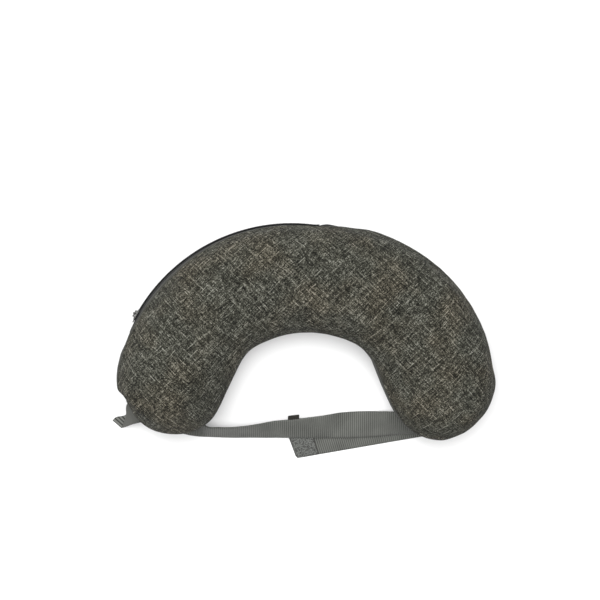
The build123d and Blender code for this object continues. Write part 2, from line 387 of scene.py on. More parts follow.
def seam_distance(co):
    """Signed height above the front seam and above the back seam."""
    return co[:, 2] - front_seam_height(co[:, :2]), co[:, 2] - BACK_SEAM


def soften(form, rounds):
    """Smooth a surface lightly."""
    relax = form.modifiers.new("relax", "SMOOTH")
    relax.factor, relax.iterations = 0.5, rounds
    apply_modifiers(form)


def stuffed_cushion():
    """Remeshed form, puffed between its sewn lines by a cloth simulation."""
    form = raw_cushion()
    remesh = form.modifiers.new("remesh", "REMESH")
    remesh.mode = "VOXEL"
    remesh.voxel_size = VOXEL * MM
    apply_modifiers(form)
    write(form.data, shape_section(read(form.data)))
    soften(form, 2)
    start = read(form.data)
    move = puff(form, start) - start
    length = np.linalg.norm(move, axis=1)
    move *= (LARGEST_PUFF * np.tanh(length / LARGEST_PUFF) / np.maximum(length, 1e-9))[:, None]
    move[:, :2] *= (1 - RIM_HOLD * at_rim(start))[:, None]
    write(form.data, start + move)
    soften(form, 5)
    start = on_floor(read(form.data))
    write(form.data, start)
    finer = form.modifiers.new("finer", "SUBSURF")
    finer.levels = finer.render_levels = 1
    apply_modifiers(form)
    return form


def puff(form, start):
    """Cloth simulation with pressure inside and the sewn lines held."""
    front, back = seam_distance(start)
    side = zip_share(start[:, :2])
    held = (np.abs(front) < HELD_BAND) | (np.abs(back) < HELD_BAND)
    held |= (side > 0.5) & (start[:, 2] > SLOT_LOW - 3) & (start[:, 2] < SLOT_HIGH + 3)
    held |= start[:, 2] < 0.6
    group = form.vertex_groups.new(name="held")
    group.add(np.flatnonzero(held).tolist(), 1.0, "REPLACE")
    cloth = form.modifiers.new("cloth", "CLOTH")
    cloth.settings.use_pressure = True
    cloth.settings.uniform_pressure_force = 4.0
    cloth.settings.effector_weights.gravity = 0
    cloth.settings.vertex_group_mass = "held"
    cloth.settings.shrink_min = -0.045
    cloth.settings.tension_stiffness = 12
    cloth.settings.bending_stiffness = 0.4
    cloth.settings.quality = 6
    cloth.collision_settings.use_collision = False
    cloth.point_cache.frame_start = 1
    cloth.point_cache.frame_end = SETTLING_FRAMES
    for number in range(1, SETTLING_FRAMES + 1):
        bpy.context.scene.frame_set(number)
    mesh = evaluated(form)
    result = read(mesh)
    bpy.data.meshes.remove(mesh)
    form.modifiers.clear()
    bpy.context.scene.frame_set(1)
    form.vertex_groups.clear()
    return result


def set_heights(vertices, heights):
    for vertex, z in zip(vertices, heights):
        vertex.co.z = z * MM


def height_at(xy, height_of, value):
    """Height over each point in plan at which height_of reaches a value, by halving a range."""
    low, high = np.full(len(xy), LOWEST), np.full(len(xy), HIGHEST)
    for _ in range(40):
        middle = (low + high) / 2
        above = height_of(np.column_stack([xy, middle])) > value
        high = np.where(above, middle, high)
        low = np.where(above, low, middle)
    return (low + high) / 2


def cut_line(bm, height_of, value, keep):
    """Insert an edge loop where height_of equals a value, by bending that level flat for the cut."""
    co = np.array([v.co for v in bm.verts]) / MM
    set_heights(bm.verts, height_of(co))
    faces = bm.faces[:]
    if keep is not None:
        wanted = keep(co)
        bm.verts.index_update()
        faces = [f for f in faces if all(wanted[v.index] for v in f.verts)]
    edges = {e for f in faces for e in f.edges}
    verts = {v for f in faces for v in f.verts}
    old = list(bm.verts)
    known = set(old)
    cut = bmesh.ops.bisect_plane(
        bm,
        geom=faces + list(edges) + list(verts),
        dist=1e-7,
        plane_co=(0, 0, value * MM),
        plane_no=(0, 0, 1),
    )["geom_cut"]
    fresh = [v for v in cut if isinstance(v, bmesh.types.BMVert) and v not in known]
    set_heights(old, co[:, 2])
    if fresh:
        xy = np.array([v.co.xy for v in fresh]) / MM
        set_heights(fresh, height_at(xy, height_of, value))


def cut_lines(obj, height_of, offsets, keep=None):
    """Insert edge loops where height_of(points) equals each offset, on the faces to keep to."""
    with edited(obj.data) as bm:
        for value in offsets:
            cut_line(bm, height_of, value, keep)


def select_faces(obj, name, wanted):
    """New object with the faces whose middle points are wanted."""
    twin = copy_of(obj, name)
    with edited(twin.data) as bm:
        keep = wanted(np.array([f.calc_center_median() for f in bm.faces]) / MM)
        bmesh.ops.delete(bm, geom=[f for f, k in zip(bm.faces, keep) if not k], context="FACES")
    return twin


def cloth_thickness(obj, thickness):
    """Give an open panel a thickness, inwards, with a closed rim."""
    solid = obj.modifiers.new("thickness", "SOLIDIFY")
    solid.thickness = thickness * MM
    solid.offset = -1
    solid.use_rim = True
    apply_modifiers(obj)


# Loops cut along each seam and along the zip's slot, then a seam's groove and lip, in mm
SEAM_LOOPS = (-4.0, -2.2, -1.1, -0.5, 0.0, 0.5, 1.1, 2.2, 4.0)
SLOT_LOOPS = (-1.2, -0.5, 0.0, 0.5, 1.2)
SEAM_DEPTH = 1.5
SEAM_LIP = 0.5


def seam_profile(distance):
    """Push outwards beside a seam and inwards on it, by distance from the stitch line."""
    groove = -SEAM_DEPTH * np.exp(-((distance / 0.75) ** 2))
    lip = SEAM_LIP * np.exp(-(((np.abs(distance) - 2.2) / 1.3) ** 2))
    return groove + lip


# Tuck beside the left strap's root: its depth as a share, by distance along Y in mm
PINCH_PLACES = (-150, -143, -137, -131, -126, -121, -116, -111, -108)
PINCH_SHARES = (0.0, 0.20, 0.55, 0.85, 1.0, 1.12, 0.75, 0.12, 0.0)

# Fullness of the leg tips, in mm, by bearing about the middle of each tip
LEFT_TIP = at_bearing(ZIP_CENTRE, ZIP_SIDE_RADIUS - TIP_RADIUS, ZIP_SIDE_BEARING)
RIGHT_TIP = (129.0, -98.0)
LEFT_TIP_BEARINGS = (142, 165, 180, 200, 222, 238, 255, 270, 290, 308)
LEFT_TIP_EXTRA = (0.0, -1.2, -2.2, -2.4, -2.2, -0.6, -0.6, -0.8, -0.8, 0.0)
RIGHT_TIP_BEARINGS = (80, 95, 115, 135, 160, 175, 195, 215, 240, 262, 285)
RIGHT_TIP_EXTRA = (0.0, 2.4, 2.6, 2.6, 4.2, 5.4, 3.6, 3.0, 3.2, 2.2, 0.0)


def fill_tips(co):
    """Push the side of each leg's tip in or out by its fullness."""
    for centre, places, extra, side in (
        (LEFT_TIP, LEFT_TIP_BEARINGS, LEFT_TIP_EXTRA, -1),
        (RIGHT_TIP, RIGHT_TIP_BEARINGS, RIGHT_TIP_EXTRA, 1),
    ):
        reach = co[:, :2] - np.array(centre)
        radius = np.maximum(np.hypot(*reach.T), 1e-6)
        amount = np.interp(bearing_about(centre, co) % 360, places, extra)
        amount *= smooth_step(radius, 12, 52) * (side * co[:, 0] > 60) * smooth_step(co[:, 2], 3, 26)
        co[:, :2] += reach / radius[:, None] * amount[:, None]
    return co


def gathers(index, distance, seed, depth):
    """Short soft wrinkles that run away from a seam and fade within about 25 mm."""
    fade = np.exp(-np.abs(distance) / 13.0) * smooth_step(np.abs(distance), 0.2, 4.0)
    points = np.column_stack([OUTLINE_LENGTH[index], np.abs(distance) * 0.12])
    strength = 0.5 + 0.5 * noise_field(points, 90.0, seed + 1)
    return depth * fade * noise_field(points, 15.0, seed) * np.clip(strength, 0, 1.2)


def beside_zip(co):
    """Whether each point is on the side near the zip."""
    return zip_share(co[:, :2]) > 0.0


def cut_seams(form):
    """Edge loops along both seams and along the edges of the slot for the zip."""
    cut_lines(form, lambda co: co[:, 2] - front_seam_height(co[:, :2]), SEAM_LOOPS)
    cut_lines(form, lambda co: co[:, 2] - BACK_SEAM, SEAM_LOOPS)
    for edge in (SLOT_LOW, SLOT_HIGH):
        cut_lines(form, lambda co: co[:, 2] - edge, SLOT_LOOPS, keep=beside_zip)


def sewn_push(co, index):
    """Outward push: the seams sunk in, gathers beside them, and slow hollows everywhere."""
    front, back = seam_distance(co)
    push = seam_profile(front) + seam_profile(back)
    push += gathers(index, front, 11, 0.4) + gathers(index, back, 23, 0.8)
    push += 0.55 * noise_field(co, 95.0, 3) + 0.16 * noise_field(co, 34.0, 5)
    return push * smooth_step(co[:, 2], 0.5, 8.0)


def fit_to_zip(co, above, near_zip):
    """Fill out the crown, and bring the cloth on both sides of the slot to the zip."""
    radial = co[:, :2] - np.array(ZIP_CENTRE)
    radius = np.hypot(*radial.T)
    bearing = bearing_about(ZIP_CENTRE, co)
    fuller = crown_fullness(bearing) * (1 - near_zip) * smooth_step(radius, 110, 165)
    fuller *= smooth_step(co[:, 2], 4, 30)
    co[:, :2] += radial / radius[:, None] * fuller[:, None]
    radius += fuller
    front_lip = 172.9 + 1.4 * smooth_step(bearing, -45, -20) - 0.12 * np.maximum(above - 9, 0)
    lip = np.where(above > 0, front_lip, 174.7) + zip_rise(bearing)
    lip += 1.3 * smooth_step(bearing, 11, 17) - 0.4 * smooth_step(bearing, 9, 12)
    co[:, :2] += radial / radius[:, None] * (near_zip * (lip - radius))[:, None]
    return co


def finish_surface(form):
    """Cut the seams' loops, then shape the sewn surface round the seams, the zip and the straps."""
    cut_seams(form)
    co = read(form.data)
    index, inset = nearest(co[:, :2])
    above = co[:, 2] - ZIP_HEIGHT
    near_zip = zip_share(co[:, :2]) * band(above, -17.5, -10.5, 13, 22)
    co += normals(form.data) * (sewn_push(co, index) * (1 - near_zip))[:, None]
    co = fit_to_zip(co, above, near_zip)
    write(form.data, on_floor(fill_tips(pinch(co, index, inset))))
    return form


def pinch(co, index, inset, deepest=4.6):
    """Inward tuck of the left leg's outer side, just above the sewn root of its strap."""
    depth = deepest * np.interp(co[:, 1], PINCH_PLACES, PINCH_SHARES)
    depth *= (co[:, 0] < -120) * np.exp(-((np.maximum(inset, 0) / 20) ** 2))
    depth *= band(co[:, 2], 23, 40, 70, 86)
    co[:, :2] -= OUTWARD[index] * depth[:, None]
    return co


def unrolled(co):
    """Where each point of a panel lay on the flat cloth: plan place, pushed out over the rounded edge."""
    index, inset = nearest(co[:, :2])
    share = np.clip(1 - inset / HALF_WIDTH, 0, 1)
    fine = np.linspace(0, 1, 200)
    height = MIDDLE * (1 - fine**FRONT_POWER) ** (1 / FRONT_POWER)
    run = np.concatenate([[0], np.cumsum(np.hypot(np.diff(fine * HALF_WIDTH), np.diff(height)))])
    excess = np.interp(share, fine, run) - share * HALF_WIDTH
    return co[:, :2] + OUTWARD[index] * excess[:, None]


def around(co):
    """Length along the outline and height, for the strips of the side."""
    index, _ = nearest(co[:, :2])
    return np.column_stack([OUTLINE_LENGTH[index], co[:, 2]])


# ----------------------------------------------------------
# Material helpers
# ----------------------------------------------------------
class Signal:
    """One output of a shader node, for use in sums and products."""

    def __init__(self, nodes, socket):
        self.nodes = nodes
        self.socket = socket

    def __add__(self, other):
        return self.nodes.math("ADD", self, other)

    def __sub__(self, other):
        return self.nodes.math("SUBTRACT", self, other)

    def __rsub__(self, other):
        return self.nodes.math("SUBTRACT", other, self)

    def __mul__(self, other):
        return self.nodes.math("MULTIPLY", self, other)


class Nodes:
    """A material's node tree, with short calls for the nodes it needs."""

    def __init__(self, name):
        self.material = bpy.data.materials.new(name)
        self.material.use_nodes = True
        self.tree = self.material.node_tree
        self.shader = self.tree.nodes["Principled BSDF"]

    def feed(self, node, values):
        """Link signals to a node's inputs, and set the others to plain values."""
        for key, value in values.items():
            if isinstance(value, Signal):
                self.tree.links.new(value.socket, node.inputs[key])
            else:
                node.inputs[key].default_value = value

    def add(self, kind, values, output=0, **settings):
        """Add a node with its settings and inputs, and return one of its outputs."""
        node = self.tree.nodes.new(kind)
        for key, value in settings.items():
            setattr(node, key, value)
        self.feed(node, values)
        return Signal(self, node.outputs[output])

    def math(self, operation, first, second=0.0, clamp=False):
        return self.add("ShaderNodeMath", {0: first, 1: second}, operation=operation, use_clamp=clamp)

    def attribute(self, name):
        return self.add("ShaderNodeAttribute", {}, "Vector", attribute_name=name)

    def place(self, vector, scale, turn=0.0):
        values = {"Vector": vector, "Scale": scale, "Rotation": (0, 0, math.radians(turn))}
        return self.add("ShaderNodeMapping", values)

    def noise(self, vector, scale, detail=2.0, roughness=0.5, output="Fac"):
        values = {"Vector": vector, "Scale": scale, "Detail": detail, "Roughness": roughness}
        return self.add("ShaderNodeTexNoise", values, output)

    def split(self, vector):
        node = self.add("ShaderNodeSeparateXYZ", {0: vector}).socket.node
        return [Signal(self, part) for part in node.outputs]

    def join(self, x, y, z=0.0):
        return self.add("ShaderNodeCombineXYZ", {0: x, 1: y, 2: z})

    def ramp(self, factor, stops):
        colour = self.add("ShaderNodeValToRGB", {0: factor})
        elements = colour.socket.node.color_ramp.elements
        while len(elements) < len(stops):
            elements.new(0.5)
        for element, (position, tone) in zip(elements, stops):
            element.position = position
            element.color = (*tone, 1)
        return colour

    def tinted(self, colour, tint):
        values = {0: 1.0, 6: colour, 7: tint}
        return self.add("ShaderNodeMix", values, 2, data_type="RGBA", blend_type="MULTIPLY")

    def bump(self, height, distance):
        values = {"Strength": 1.0, "Distance": distance, "Height": height}
        self.feed(self.shader, {"Normal": self.add("ShaderNodeBump", values)})

    def finish(self, colour, roughness, sheen=0.0, sheen_roughness=0.5, specular=0.3, metallic=0.0):
        values = {"Base Color": colour, "Roughness": roughness, "Sheen Weight": sheen}
        values.update({"Sheen Roughness": sheen_roughness, "Specular IOR Level": specular})
        self.feed(self.shader, {**values, "Metallic": metallic})
        return self.material


def yarn(nodes, thread, along, seed, run):
    """Tone of each thread, uneven along its length."""
    place = nodes.join(nodes.math("FLOOR", thread) * 7.31, along * run, seed)
    return nodes.noise(place, 1.0, 3.0, 0.62)


def slub(nodes, thread, along, seed):
    """Rare thick stretches of a thread, 0 away from them."""
    place = nodes.join(nodes.math("FLOOR", thread) * 5.17, along * 0.036, seed)
    raw = nodes.noise(place, 1.0, 1.0, 0.5)
    share = nodes.math("MULTIPLY", raw - SLUB_LEVEL, 14.0, clamp=True)
    return share * round_thread(nodes, thread)


def fleck(nodes, warp, weft):
    """Own tone of each crossing of two threads, 0 to 1."""
    cell = nodes.join(nodes.math("FLOOR", warp), nodes.math("FLOOR", weft))
    return nodes.add("ShaderNodeTexWhiteNoise", {"Vector": cell}, "Value", noise_dimensions="2D")


def round_thread(nodes, thread):
    """Height across a thread, 0 at its edges and 1 at its middle."""
    return nodes.math("SINE", nodes.math("FRACT", thread) * math.pi)


def wandering(nodes, flat):
    """Place on the flat cloth, bent a little so that no thread runs dead straight."""
    wobble = nodes.noise(flat, 0.035, output="Color")
    reach = nodes.add("ShaderNodeVectorMath", {0: wobble, "Scale": 5.0}, operation="SCALE")
    return nodes.add("ShaderNodeVectorMath", {0: flat, 1: reach}, operation="ADD")


# Heather cloth: thread spacing in mm, how rare and how strong its slubs are, its tones from dark to
# pale, and the slow change of tint over it
THREAD_PITCH = 0.80
SLUB_LEVEL = 0.65
PALE_SLUB = 0.100
DARK_SLUB = 0.075
HEATHER_TONES = (
    (0.38, (0.0012, 0.0012, 0.0009)),
    (0.45, (0.0110, 0.0110, 0.0083)),
    (0.50, (0.0345, 0.0342, 0.0270)),
    (0.55, (0.0810, 0.0804, 0.0662)),
    (0.64, (0.2500, 0.2470, 0.2160)),
)
HEATHER_PATCHES = ((0.45, (0.990, 1.0, 0.980)), (0.66, (1.08, 1.0, 0.91)))


def heather_material():
    """Charcoal melange: two sets of uneven threads on the bias, dark, grey and pale."""
    n = Nodes("heather_weave")
    flat = n.attribute("cloth")
    warp, weft, _ = n.split(n.place(wandering(n, flat), (1 / THREAD_PITCH, 1 / THREAD_PITCH, 1), 45))
    warp_tone = yarn(n, warp, weft, 3.7, 0.190)
    weft_tone = yarn(n, weft, warp, 41.3, 0.170)
    check = n.math("FLOOR", warp) + n.math("FLOOR", weft)
    over = n.math("ABSOLUTE", n.math("MODULO", check, 2.0))
    under = 1.0 - over
    crossing = over * warp_tone + under * weft_tone
    both = (warp_tone + weft_tone) * 0.5
    value = crossing * 0.24 + both * 0.10 + fleck(n, warp, weft) * 0.12
    value += (yarn(n, warp, weft, 120.9, 0.045) + yarn(n, weft, warp, 171.3, 0.040)) * 0.22
    value += n.noise(flat, 2.3, 2.0, 0.7) * 0.10
    for thread, along, seed in ((warp, weft, 8.3), (weft, warp, 63.9)):
        value += slub(n, thread, along, seed) * PALE_SLUB
        value -= slub(n, thread, along, seed + 17.0) * DARK_SLUB
    patches = n.ramp(n.noise(flat, 0.020), HEATHER_PATCHES)
    rounded = over * round_thread(n, warp) + under * round_thread(n, weft)
    n.bump(rounded + value * 0.8, 0.30 * MM)
    colour = n.tinted(n.ramp(value, HEATHER_TONES), patches)
    return n.finish(colour, 0.95, sheen=0.02, sheen_roughness=0.6, specular=0.10)


def smooth_cloth_material(name, dark, pale):
    """Fine plain-woven polyester with a faint mottle."""
    n = Nodes(name)
    flat = n.attribute("cloth")
    warp, weft, _ = n.split(n.place(flat, (2.2, 2.2, 1)))
    mottle = n.noise(flat, 0.09, 3.0, 0.6)
    grain = n.noise(n.place(flat, (1.0, 4.0, 1)), 1.4)
    colour = n.ramp(mottle * 0.5 + grain * 0.5, ((0.30, dark), (0.70, pale)))
    n.bump(round_thread(n, warp) * round_thread(n, weft) + grain * 0.6, 0.08 * MM)
    return n.finish(colour, 0.85, sheen=0.03, specular=0.18)


# Distance between the webbing's cross ribs, in mm
RIB_PITCH = 2.1


def webbing_material(name, dark, pale, rib=RIB_PITCH):
    """Elastic webbing: cross ribs along its length, with fine lengthwise threads."""
    n = Nodes(name)
    flat = n.attribute("cloth")
    along, across, pulled = n.split(flat)
    ribs = n.math("ABSOLUTE", n.math("SINE", along * (math.pi / rib)))
    threads = n.math("ABSOLUTE", n.math("SINE", across * (math.pi / 0.75)))
    speckle = n.noise(n.place(flat, (1.2, 2.4, 1)), 1.1, 3.0, 0.7)
    opened = (ribs - 0.6) * (pulled * 0.45)
    value = ribs * 0.30 + opened + speckle * 0.48 + n.noise(flat, 0.05) * 0.22
    n.bump(ribs * 0.8 + threads * 0.25, 0.16 * MM)
    return n.finish(n.ramp(value, ((0.28, dark), (0.74, pale))), 0.8, sheen=0.1, specular=0.25)


def pile_material(name, dark, pale, scale, depth):
    """Hook or loop tape: a rough field of short fibres."""
    n = Nodes(name)
    flat = n.attribute("cloth")
    cells = n.add("ShaderNodeTexVoronoi", {"Vector": flat, "Scale": scale}, "Distance")
    value = cells * 0.7 + n.noise(flat, 2.2, 3.0, 0.7) * 0.5
    n.bump(1.0 - value, depth * MM)
    colour = n.ramp(value, ((0.30, pale), (0.80, dark)))
    return n.finish(colour, 0.85, sheen=0.15, sheen_roughness=0.6, specular=0.25)


def grained_material(name, dark, pale, scale, depth, roughness, **finish):
    """Fine irregular grain in the object's own space, for foam, thread and small trim."""
    n = Nodes(name)
    grain = n.noise(n.add("ShaderNodeTexCoord", {}, "Object"), scale, 3.0, 0.6)
    n.bump(grain, depth * MM)
    return n.finish(n.ramp(grain, ((0.35, dark), (0.65, pale))), roughness, **finish)


# ----------------------------------------------------------
# Camera, floor and light
# ----------------------------------------------------------
# Camera: the point under it, its height, the point it looks at, and the width in view there, in mm
CAMERA_FOOT = (-72.0, -21.0)
CAMERA_HEIGHT = 1450.0
VIEW_CENTRE = (-7.0, -21.0, 45.0)
VIEW_WIDTH = 600.0


def make_camera():
    """Camera high above the cushion, a little to the left of its middle."""
    eye = Vector((*CAMERA_FOOT, CAMERA_HEIGHT)) * MM
    aim = Vector(VIEW_CENTRE) * MM
    data = bpy.data.cameras.new("camera")
    camera = bpy.data.objects.new("camera", data)
    bpy.context.collection.objects.link(camera)
    look = (aim - eye).normalized()
    right = look.cross(Vector((0, 1, 0))).normalized()
    up = right.cross(look)
    turn = Matrix((right, up, -look)).transposed()
    camera.matrix_world = Matrix.Translation(eye) @ turn.to_4x4()
    data.lens = data.sensor_width * (aim - eye).length / (VIEW_WIDTH * MM)
    data.clip_start, data.clip_end = 0.05, 20
    bpy.context.scene.camera = camera


def area_light(name, place, aim, size, power):
    """Round soft lamp, placed and aimed in metres."""
    data = bpy.data.lights.new(name, "AREA")
    data.shape, data.size, data.energy = "DISK", size, power
    light = bpy.data.objects.new(name, data)
    light.location = place
    light.rotation_mode = "QUATERNION"
    light.rotation_quaternion = (Vector(aim) - Vector(place)).to_track_quat("-Z", "Y")
    bpy.context.collection.objects.link(light)


FLOOR_REACH = 6000


def make_floor():
    """Plain pale floor that the cushion lies on."""
    r = FLOOR_REACH
    floor = new_object("floor", [(-r, -r, 0), (r, -r, 0), (r, r, 0), (-r, r, 0)], [(0, 1, 2, 3)])
    n = Nodes("floor_paint")
    n.feed(n.shader, {"Base Color": (0.68, 0.68, 0.68, 1), "Roughness": 0.9})
    n.feed(n.shader, {"Emission Color": (1, 1, 1, 1), "Emission Strength": 0.10})
    floor.data.materials.append(n.material)


def make_studio():
    """White surroundings and two soft lamps, one overhead and a weaker one from the upper left."""
    make_floor()
    world = bpy.data.worlds.new("studio")
    world.use_nodes = True
    background = world.node_tree.nodes["Background"]
    background.inputs["Color"].default_value = (1, 1, 1, 1)
    background.inputs["Strength"].default_value = 0.54
    bpy.context.scene.world = world
    area_light("overhead", (-0.15, 0.15, 2.1), (0, -0.05, 0), 1.5, 64)
    area_light("key", (-0.75, 0.95, 1.65), (0, -0.05, 0), 0.9, 14)
    bpy.context.scene.view_settings.view_transform = "Standard"


# ----------------------------------------------------------
# Cover, liner and foam
# ----------------------------------------------------------
# Cloth thickness, depths of the foam and the liner below the cover, and their tuck by the left root
PANEL_THICKNESS = 1.3
FOAM_DEPTH = 6.0
LINER_DEPTH = 4.0
INNER_TUCK = 8.0


def shrunk(form, name, depth, node, material):
    """Closed copy of the stuffed surface, sunk inwards, and a little more behind the zip."""
    piece = copy_of(form, name)
    co = read(piece.data)
    side = zip_share(co[:, :2]) * band(co[:, 2] - ZIP_HEIGHT, -24, -11, 11, 24)
    co -= normals(piece.data) * (depth + 2.2 * side)[:, None]
    co = fill_tips(pinch(co, *nearest(co[:, :2]), deepest=INNER_TUCK))
    write(piece.data, co)
    store(piece, "cloth", co)
    dress(piece, material, "cushion", node)


def in_front(co):
    return co[:, 2] > front_seam_height(co[:, :2])


def in_back(co):
    return (co[:, 2] < BACK_SEAM) & ~in_front(co)


def by_zip(co):
    return (zip_share(co[:, :2]) > 0.5) & ~in_front(co) & ~in_back(co)


def closing_slot(co):
    """The slot's two ends, where cloth covers the ends of the tapes."""
    bearing = bearing_about(ZIP_CENTRE, co)
    in_slot = by_zip(co) & (co[:, 2] > SLOT_LOW) & (co[:, 2] < SLOT_HIGH)
    return in_slot & ((bearing < TAPE_START + 2) | (bearing > TAPE_END - 2))


def on_gusset(co):
    return ~in_front(co) & ~in_back(co) & (~by_zip(co) | closing_slot(co))


def make_cover(heather, smooth):
    """Foam, liner, and the cover's panels, each a piece of the sewn surface with a thickness."""
    form = stuffed_cushion()
    foam = grained_material("foam_cells", (0.50, 0.44, 0.28), (0.66, 0.60, 0.42), 900.0, 0.25, 0.95)
    knit = grained_material("liner_knit", (0.58, 0.58, 0.56), (0.72, 0.72, 0.70), 1400.0, 0.12, 0.9)
    shrunk(form, "foam_core_shape", FOAM_DEPTH, "foam_core", foam)
    shrunk(form, "inner_liner_bag", LINER_DEPTH, "inner_liner", knit)
    form = finish_surface(form)
    panels = (
        ("front_panel", in_front, heather, "heather_fabric", unrolled),
        ("back_panel", in_back, smooth, "smooth_fabric", unrolled),
        ("side_gusset", on_gusset, smooth, "smooth_fabric", around),
        ("zip_gusset_front", lambda co: by_zip(co) & (co[:, 2] > SLOT_HIGH), smooth, "smooth_fabric", around),
        ("zip_gusset_back", lambda co: by_zip(co) & (co[:, 2] < SLOT_LOW), smooth, "smooth_fabric", around),
    )
    for node, wanted, material, slot, layout in panels:
        piece = select_faces(form, f"{node}_cloth", wanted)
        store(piece, "cloth", layout(read(piece.data)))
        cloth_thickness(piece, PANEL_THICKNESS)
        dress(piece, material, "cushion", node)
    bpy.data.objects.remove(form)


# ----------------------------------------------------------
# Zip: bearings of its ends about its centre, the coil's turns and the radius they lie on, in mm
# ----------------------------------------------------------
TAPE_START, TAPE_END = -67.0, 16.5
COIL_START, COIL_END = -62.9, 9.0
COIL_PITCH = 1.4
COIL_STEPS = 10
COIL_OFFSET = 1.25
WIRE_RADIUS = 0.34
ARC_RADIUS = 176.0


def tape_swell(bearing):
    """How far the tapes' middle stands out past the coil's end, fading towards the tapes' ends."""
    return 1.3 * smooth_step(bearing, 7.8, 10.3) * (1 - smooth_step(bearing, 10.5, 16.5))


def tape_profile(side):
    """Section of one tape, radius and height: from its far edge to the coil and back underneath."""
    far = ZIP_HEIGHT + side * 10.5
    bend = ZIP_HEIGHT + side * 5.0
    near = ZIP_HEIGHT + side * 1.3
    far_radius = 171.6 if side > 0 else 173.4
    profile = [(far_radius, far), (174.6, bend), (175.1, near)]
    profile += [(174.4, near), (173.9, bend), (far_radius - 0.7, far)]
    return profile if side > 0 else profile[::-1]


def tape_strip(name, profile, start, end, step=0.5):
    """Closed section (radius, height) swept along an arc about the zip's centre."""
    bearings = np.linspace(start, end, max(2, int((end - start) / step)))
    count = len(profile)
    vertices, faces, cloth = [], [], []
    for bearing in bearings:
        rise = zip_rise(bearing)
        swell = tape_swell(bearing)
        for radius, height in profile:
            out = radius + rise + swell * (abs(height - ZIP_HEIGHT) < 6)
            vertices.append((*at_bearing(ZIP_CENTRE, out, bearing), height))
            cloth.append((math.radians(bearing) * ARC_RADIUS, height))
    for i in range(len(bearings) - 1):
        for j in range(count):
            k = (j + 1) % count
            a, b = i * count, (i + 1) * count
            faces.append((a + j, a + k, b + k, b + j))
    faces.append(tuple(reversed(range(count))))
    last = (len(bearings) - 1) * count
    faces.append(tuple(range(last, last + count)))
    obj = new_object(name, vertices, faces)
    store(obj, "cloth", cloth)
    return obj


def coil_turns(name, side):
    """Nylon coil: a flattened helix sewn along the tape's edge, meshing with its twin."""
    length = math.radians(COIL_END - COIL_START) * ARC_RADIUS
    steps = int(length / COIL_PITCH) * COIL_STEPS
    middle = ZIP_HEIGHT + side * COIL_OFFSET
    path = []
    for i in range(steps + 1):
        angle = i / COIL_STEPS * 2 * math.pi + (math.pi if side < 0 else 0)
        bearing = COIL_START + (COIL_END - COIL_START) * i / steps
        radius = ARC_RADIUS + 0.8 * math.sin(angle) + zip_rise(bearing)
        place = at_bearing(ZIP_CENTRE, radius, bearing)
        path.append((*place, middle - side * 1.35 * math.cos(angle)))
    return tube(name, path, WIRE_RADIUS)


def tube(name, path, radius, sides=6):
    """Closed round tube along a path in millimetres."""
    path = np.array(path)
    along = np.gradient(path, axis=0)
    along /= np.linalg.norm(along, axis=1)[:, None]
    first = np.cross(along, (0.02, 0.03, 1.0))
    first /= np.linalg.norm(first, axis=1)[:, None]
    second = np.cross(along, first)
    turn = np.linspace(0, 2 * math.pi, sides, endpoint=False)[None, :, None]
    rings = path[:, None] + radius * (np.cos(turn) * first[:, None] + np.sin(turn) * second[:, None])
    faces = []
    for i in range(len(path) - 1):
        for j in range(sides):
            k = (j + 1) % sides
            faces.append((i * sides + j, i * sides + k, (i + 1) * sides + k, (i + 1) * sides + j))
    faces.append(tuple(reversed(range(sides))))
    faces.append(tuple(range((len(path) - 1) * sides, len(path) * sides)))
    return new_object(name, rings.reshape(-1, 3), faces)


def make_zip(metal):
    """Two tapes with their coils; the slider, pull and stops keep their modelled shapes."""
    weave = smooth_cloth_material("zip_tape_weave", (0.006, 0.006, 0.006), (0.022, 0.022, 0.021))
    nylon = grained_material("coil_nylon", (0.008, 0.008, 0.008), (0.020, 0.020, 0.020), 3000.0, 0.02, 0.42)
    for name, side in (("front", 1), ("back", -1)):
        tape = tape_strip(f"zip_tape_{name}_woven", tape_profile(side), TAPE_START, TAPE_END)
        dress(tape, weave, "cushion", f"zip_tape_{name}")
        coil = coil_turns(f"zip_coil_{name}_turns", side)
        dress(coil, nylon, "cushion", f"zip_coil_{name}")
    for node in ("zip_slider", "zip_pull", "zip_top_stops", "zip_bottom_stop"):
        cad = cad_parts[node]
        cad.data.materials.clear()
        cad.data.materials.append(metal)


# ----------------------------------------------------------
# Straps
# ----------------------------------------------------------
# Elastic webbing, in mm
WEBBING_WIDTH = 25.4
WEBBING_THICKNESS = 1.5
RIB_HEIGHT = 0.10


def smooth_rows(points, count):
    """Catmull-Rom line through a few listed points, at evenly spaced parameters."""
    points = np.asarray(points, float)
    padded = np.vstack([2 * points[0] - points[1], points, 2 * points[-1] - points[-2]])
    t = np.linspace(0, len(points) - 1, count)
    i = np.minimum(t.astype(int), len(points) - 2)
    f = (t - i)[:, None]
    a, b, c, d = padded[i], padded[i + 1], padded[i + 2], padded[i + 3]
    return 0.5 * (2 * b + (c - a) * f + (2 * a - 5 * b + 4 * c - d) * f**2 + (3 * b - a - 3 * c + d) * f**3)


def even_rows(low, high, step):
    """Rows of a ribbon between two rails, evenly spaced along its middle."""
    rails = smooth_rows(low, 600), smooth_rows(high, 600)
    middle = (rails[0] + rails[1]) / 2
    run = np.concatenate([[0], np.cumsum(np.linalg.norm(np.diff(middle, axis=0), axis=1))])
    along = np.arange(0, run[-1], step)
    rows = [np.stack([np.interp(along, run, line) for line in rail.T], 1) for rail in rails]
    return rows[0], rows[1], along


